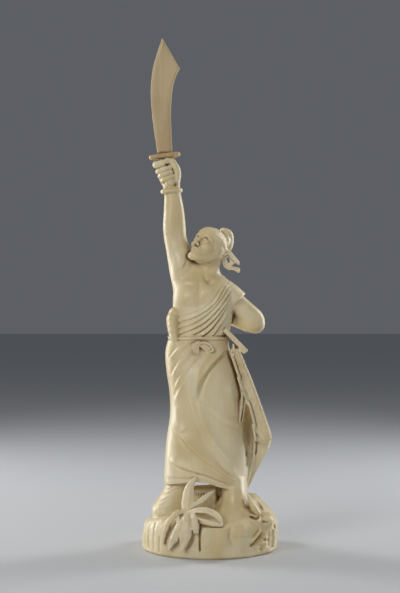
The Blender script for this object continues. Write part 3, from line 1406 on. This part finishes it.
def wear_attributes(piece, field, axes):
    """Crevice, edge and stain amounts for the material, kept on the mesh's points."""
    count = len(piece.data.vertices)
    places = np.empty(count * 3, np.float32)
    normals = np.empty(count * 3, np.float32)
    piece.data.vertices.foreach_get("co", places)
    piece.data.vertex_normals.foreach_get("vector", normals)
    places, normals = places.reshape(-1, 3) / MM, normals.reshape(-1, 3)
    crevice = edge = 0
    for reach in (0.7, 1.4, 2.4, 3.6):
        outside = sampled(field, axes, places + normals * reach) / reach
        inside = -sampled(field, axes, places - normals * reach) / reach
        crevice = crevice + np.clip(1 - outside, 0, 1) / 4
        edge = edge + np.clip(1 - inside, 0, 1) / 4
    stain = 0
    for centre, reach, strength in STAINS:
        off = (places - np.array(centre)) / np.array(reach)
        stain = np.maximum(stain, strength * np.exp(-(off**2).sum(1)))
    for name, values in (("crevice", crevice), ("edge", edge), ("stain", stain)):
        layer = piece.data.attributes.new(name, "FLOAT", "POINT")
        layer.data.foreach_set("value", np.asarray(values, np.float32))


# Sword: a broad single-edged blade with a clipped point, an oval guard and a grip in the fist

BLADE_OUTLINE = [
    (-40.9, 309),
    (-42.3, 319.3),
    (-43.9, 329.5),
    (-45.4, 342.5),
    (-46.1, 355.1),
    (-45.8, 365.3),
    (-44.4, 376.3),
    (-41.8, 385.7),
    (-37.2, 400),
    (-30.2, 387.8),
    (-23.1, 375.5),
    (-25.2, 372.1),
    (-28.2, 363.7),
    (-29.8, 351.6),
    (-30.3, 337.8),
    (-29.8, 325.2),
    (-29.2, 311.1),
    (-29.3, 309),
]

BLADE_HALF = 1.5
SWORD_GRID = ((-50.0, -17.0, 0.3), (-9.0, 9.0, 0.22), (284.0, 402.0, 0.3))


def polygon_distance(points, x, z):
    """Distance to a closed outline, below 0 inside it."""
    nearest, inside = np.full(np.broadcast_shapes(x.shape, z.shape), 1e9), False
    for (ax, az), (bx, bz) in zip(points, points[1:] + points[:1]):
        run_x, run_z = bx - ax, bz - az
        t = np.clip(((x - ax) * run_x + (z - az) * run_z) / (run_x**2 + run_z**2), 0, 1)
        nearest = np.minimum(nearest, np.hypot(x - ax - t * run_x, z - az - t * run_z))
        crosses = ((az > z) != (bz > z)) & (x < (bx - ax) * (z - az) / ((bz - az) or 1e-9) + ax)
        inside = inside ^ crosses
    return np.where(inside, -nearest, nearest)


def blade():
    spine = smooth_rows(BLADE_OUTLINE[:9], 60)
    back = smooth_rows(BLADE_OUTLINE[10:], 40)
    outline = [tuple(p) for p in spine] + [tuple(p) for p in back]

    def distance(x, y, z):
        rim = polygon_distance(outline, x, z)
        half = 0.35 + (BLADE_HALF - 0.35) * smooth_step(-rim / 2.2 + 0.1)
        return soft_max(rim, (np.abs(y) - half) * 0.8, 0.25)

    return (-47, -BLADE_HALF, 308), (-22, BLADE_HALF, 401), distance


def make_sword():
    axes = [
        np.arange(low, high, step * COARSE, dtype=np.float32) for low, high, step in SWORD_GRID
    ]
    steel = Clay(*axes)
    steel.add(blade())
    steel.add(guard_plate(), 0.3)
    along, up = turned(Y_AXIS, math.degrees(SWORD_LEAN))
    for side in (-1, 1):
        line = []
        for i in range(25):
            angle = math.tau * i / 24
            x, y = 10.6 * math.cos(angle), 3.9 * math.sin(angle)
            line.append([*(np.array(GUARD_CENTRE) + along * x + Y_AXIS * y + up * side * 1.75), 0.3, 0.3])
        steel.cut(limb(line, up, steps=48), 0.2)
    start, end = grip_axis()
    steel.add(bar(start, end, 2.6), 0.2)
    piece = mesh_from(steel.field, steel.axes, "warrior_sword", 60000)
    wear_attributes(piece, steel.field, steel.axes)
    return piece


# Materials


class Nodes:
    """Short names for building a node tree."""

    def __init__(self, material):
        material.use_nodes = True
        self.tree = material.node_tree
        self.shader = self.tree.nodes["Principled BSDF"]
        self.place = self.make("ShaderNodeTexCoord").outputs["Object"]

    def make(self, kind, **settings):
        node = self.tree.nodes.new(kind)
        for name, value in settings.items():
            setattr(node, name, value)
        return node

    def link(self, source, target):
        if isinstance(source, bpy.types.NodeSocket):
            self.tree.links.new(source, target)
        else:
            target.default_value = source

    def stretched(self, scale):
        node = self.make("ShaderNodeMapping")
        self.link(self.place, node.inputs["Vector"])
        node.inputs["Scale"].default_value = scale
        return node.outputs["Vector"]

    def noise(self, scale, detail=3.0, stretch=(1, 1, 1), distortion=0.0):
        node = self.make("ShaderNodeTexNoise")
        self.link(self.stretched(stretch), node.inputs["Vector"])
        node.inputs["Scale"].default_value = scale
        node.inputs["Detail"].default_value = detail
        node.inputs["Distortion"].default_value = distortion
        return node.outputs["Fac"]

    def math(self, operation, a, b=0.0, clamp=False):
        node = self.make("ShaderNodeMath", operation=operation, use_clamp=clamp)
        self.link(a, node.inputs[0])
        self.link(b, node.inputs[1])
        return node.outputs[0]

    def span(self, value, low, high, to_low=0.0, to_high=1.0):
        node = self.make("ShaderNodeMapRange", interpolation_type="SMOOTHSTEP")
        self.link(value, node.inputs["Value"])
        for name, number in (("From Min", low), ("From Max", high), ("To Min", to_low), ("To Max", to_high)):
            node.inputs[name].default_value = number
        return node.outputs["Result"]

    def mix(self, share, a, b):
        node = self.make("ShaderNodeMix", data_type="RGBA")
        self.link(share, node.inputs[0])
        self.link(a, node.inputs[6])
        self.link(b, node.inputs[7])
        return node.outputs[2]

    def attribute(self, name):
        return self.make("ShaderNodeAttribute", attribute_name=name).outputs["Fac"]

    def bump(self, height, strength, distance):
        node = self.make("ShaderNodeBump")
        node.inputs["Strength"].default_value = strength
        node.inputs["Distance"].default_value = distance
        self.link(height, node.inputs["Height"])
        self.link(node.outputs["Normal"], self.shader.inputs["Normal"])


def colour(red, green, blue):
    """A linear colour from sRGB parts out of 255."""
    parts = [(c / 255 / 12.92) if c <= 10 else ((c / 255 + 0.055) / 1.055) ** 2.4 for c in (red, green, blue)]
    return (*parts, 1.0)


def ivory_material(name, base, warm, deep, gloss, streak):
    """Polished ivory: soft clouds, fine upright grain, brown in the hollows and pale on the edges."""
    material = bpy.data.materials.new(name)
    nodes = Nodes(material)
    clouds = nodes.noise(38, 3, (1, 1, 0.6))
    grain = nodes.noise(420, 3, (1, 1, 0.05))
    fine = nodes.noise(900, 2, (1, 1, 0.12))
    surface = nodes.mix(nodes.span(clouds, 0.38, 0.68), base, warm)
    surface = nodes.mix(nodes.span(grain, 0.45, 0.75, 0, streak), surface, warm)
    broken = nodes.noise(260, 4)
    crevice = nodes.math("MULTIPLY", nodes.attribute("crevice"), nodes.span(broken, 0.2, 0.7, 0.75, 1.15))
    surface = nodes.mix(nodes.span(crevice, 0.16, 0.75, 0, 0.85), surface, deep)
    stain = nodes.math("MULTIPLY", nodes.attribute("stain"), nodes.span(broken, 0.3, 0.62, 0.25, 1.0))
    surface = nodes.mix(nodes.math("MULTIPLY", stain, 0.55), surface, deep)
    pale = nodes.mix(0.5, base, colour(255, 250, 232))
    surface = nodes.mix(nodes.span(nodes.attribute("edge"), 0.3, 0.8, 0, 0.45), surface, pale)
    nodes.link(surface, nodes.shader.inputs["Base Color"])
    rough = nodes.span(nodes.noise(120, 4), 0.3, 0.7, gloss - 0.05, gloss + 0.08)
    nodes.link(nodes.math("ADD", rough, nodes.math("MULTIPLY", crevice, 0.25)), nodes.shader.inputs["Roughness"])
    height = nodes.math("ADD", nodes.math("MULTIPLY", grain, 0.6), nodes.math("MULTIPLY", fine, 0.4))
    nodes.bump(height, 0.35, 0.00012)
    nodes.shader.inputs["Subsurface Weight"].default_value = 0.25
    nodes.shader.inputs["Subsurface Radius"].default_value = (1.0, 0.7, 0.42)
    nodes.shader.inputs["Subsurface Scale"].default_value = 0.0022
    nodes.shader.inputs["IOR"].default_value = 1.54
    nodes.shader.inputs["Specular IOR Level"].default_value = 0.5
    nodes.shader.inputs["Coat Weight"].default_value = 0.12
    nodes.shader.inputs["Coat Roughness"].default_value = 0.25
    return material


add_base()
add_legs()
add_robe()
add_torso()
add_waist_roll()
add_arms()
add_sleeve()
add_belt()
add_scabbard()
add_head()
add_fist()

warrior = mesh_from(clay.field, clay.axes, "warrior_figure", MOST_TRIANGLES)
wear_attributes(warrior, clay.field, clay.axes)
warrior.data.materials.append(
    ivory_material(
        "ivory",
        colour(236, 222, 184),
        colour(222, 202, 152),
        colour(140, 98, 48),
        0.40,
        0.35,
    )
)
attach(warrior, "root")
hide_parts("carved_warrior")

sword = make_sword()
sword.data.materials.append(
    ivory_material(
        "blade_ivory",
        colour(205, 180, 132),
        colour(184, 152, 100),
        colour(130, 92, 50),
        0.42,
        0.6,
    )
)
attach(sword, "root")
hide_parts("sword")

# Stage: a plain pale floor and three soft lights


def area_light(name, place, aim, size, power, tint=(1, 1, 1)):
    light = bpy.data.lights.new(name, "AREA")
    light.shape = "RECTANGLE"
    light.size, light.size_y = size
    light.energy = power
    light.color = tint
    lamp = bpy.data.objects.new(name, light)
    bpy.context.scene.collection.objects.link(lamp)
    lamp.location = place
    lamp.rotation_euler = (Vector(aim) - Vector(place)).to_track_quat("-Z", "Y").to_euler()
    return lamp


floor_mesh = bpy.data.meshes.new("floor")
REACH = 6.0
floor_mesh.from_pydata(
    [(-REACH, -REACH, 0), (REACH, -REACH, 0), (REACH, REACH, 0), (-REACH, REACH, 0)], [], [(0, 1, 2, 3)]
)
floor = bpy.data.objects.new("floor", floor_mesh)
bpy.context.scene.collection.objects.link(floor)
floor_material = bpy.data.materials.new("floor")
floor_nodes = Nodes(floor_material)
floor_nodes.shader.inputs["Base Color"].default_value = colour(206, 208, 210)
floor_nodes.shader.inputs["Roughness"].default_value = 0.7
floor_mesh.materials.append(floor_material)

world = bpy.data.worlds.new("studio")
world.use_nodes = True
world.node_tree.nodes["Background"].inputs["Color"].default_value = (0.20, 0.21, 0.23, 1)
world.node_tree.nodes["Background"].inputs["Strength"].default_value = 0.55
bpy.context.scene.world = world

CHEST = (0, 0, 0.2)
area_light("key", (-0.75, -1.0, 0.75), CHEST, (0.6, 0.6), 6.5, (1, 0.98, 0.94))
area_light("fill", (0.9, -1.0, 0.4), CHEST, (0.8, 0.8), 1.8)
area_light("left_rim", (-0.75, 0.45, 0.35), CHEST, (0.25, 0.9), 6)
area_light("right_rim", (0.75, 0.45, 0.35), CHEST, (0.25, 0.9), 6)
area_light("top", (0, 0.1, 1.3), CHEST, (0.7, 0.7), 2)

bpy.context.scene.view_settings.view_transform = "Standard"
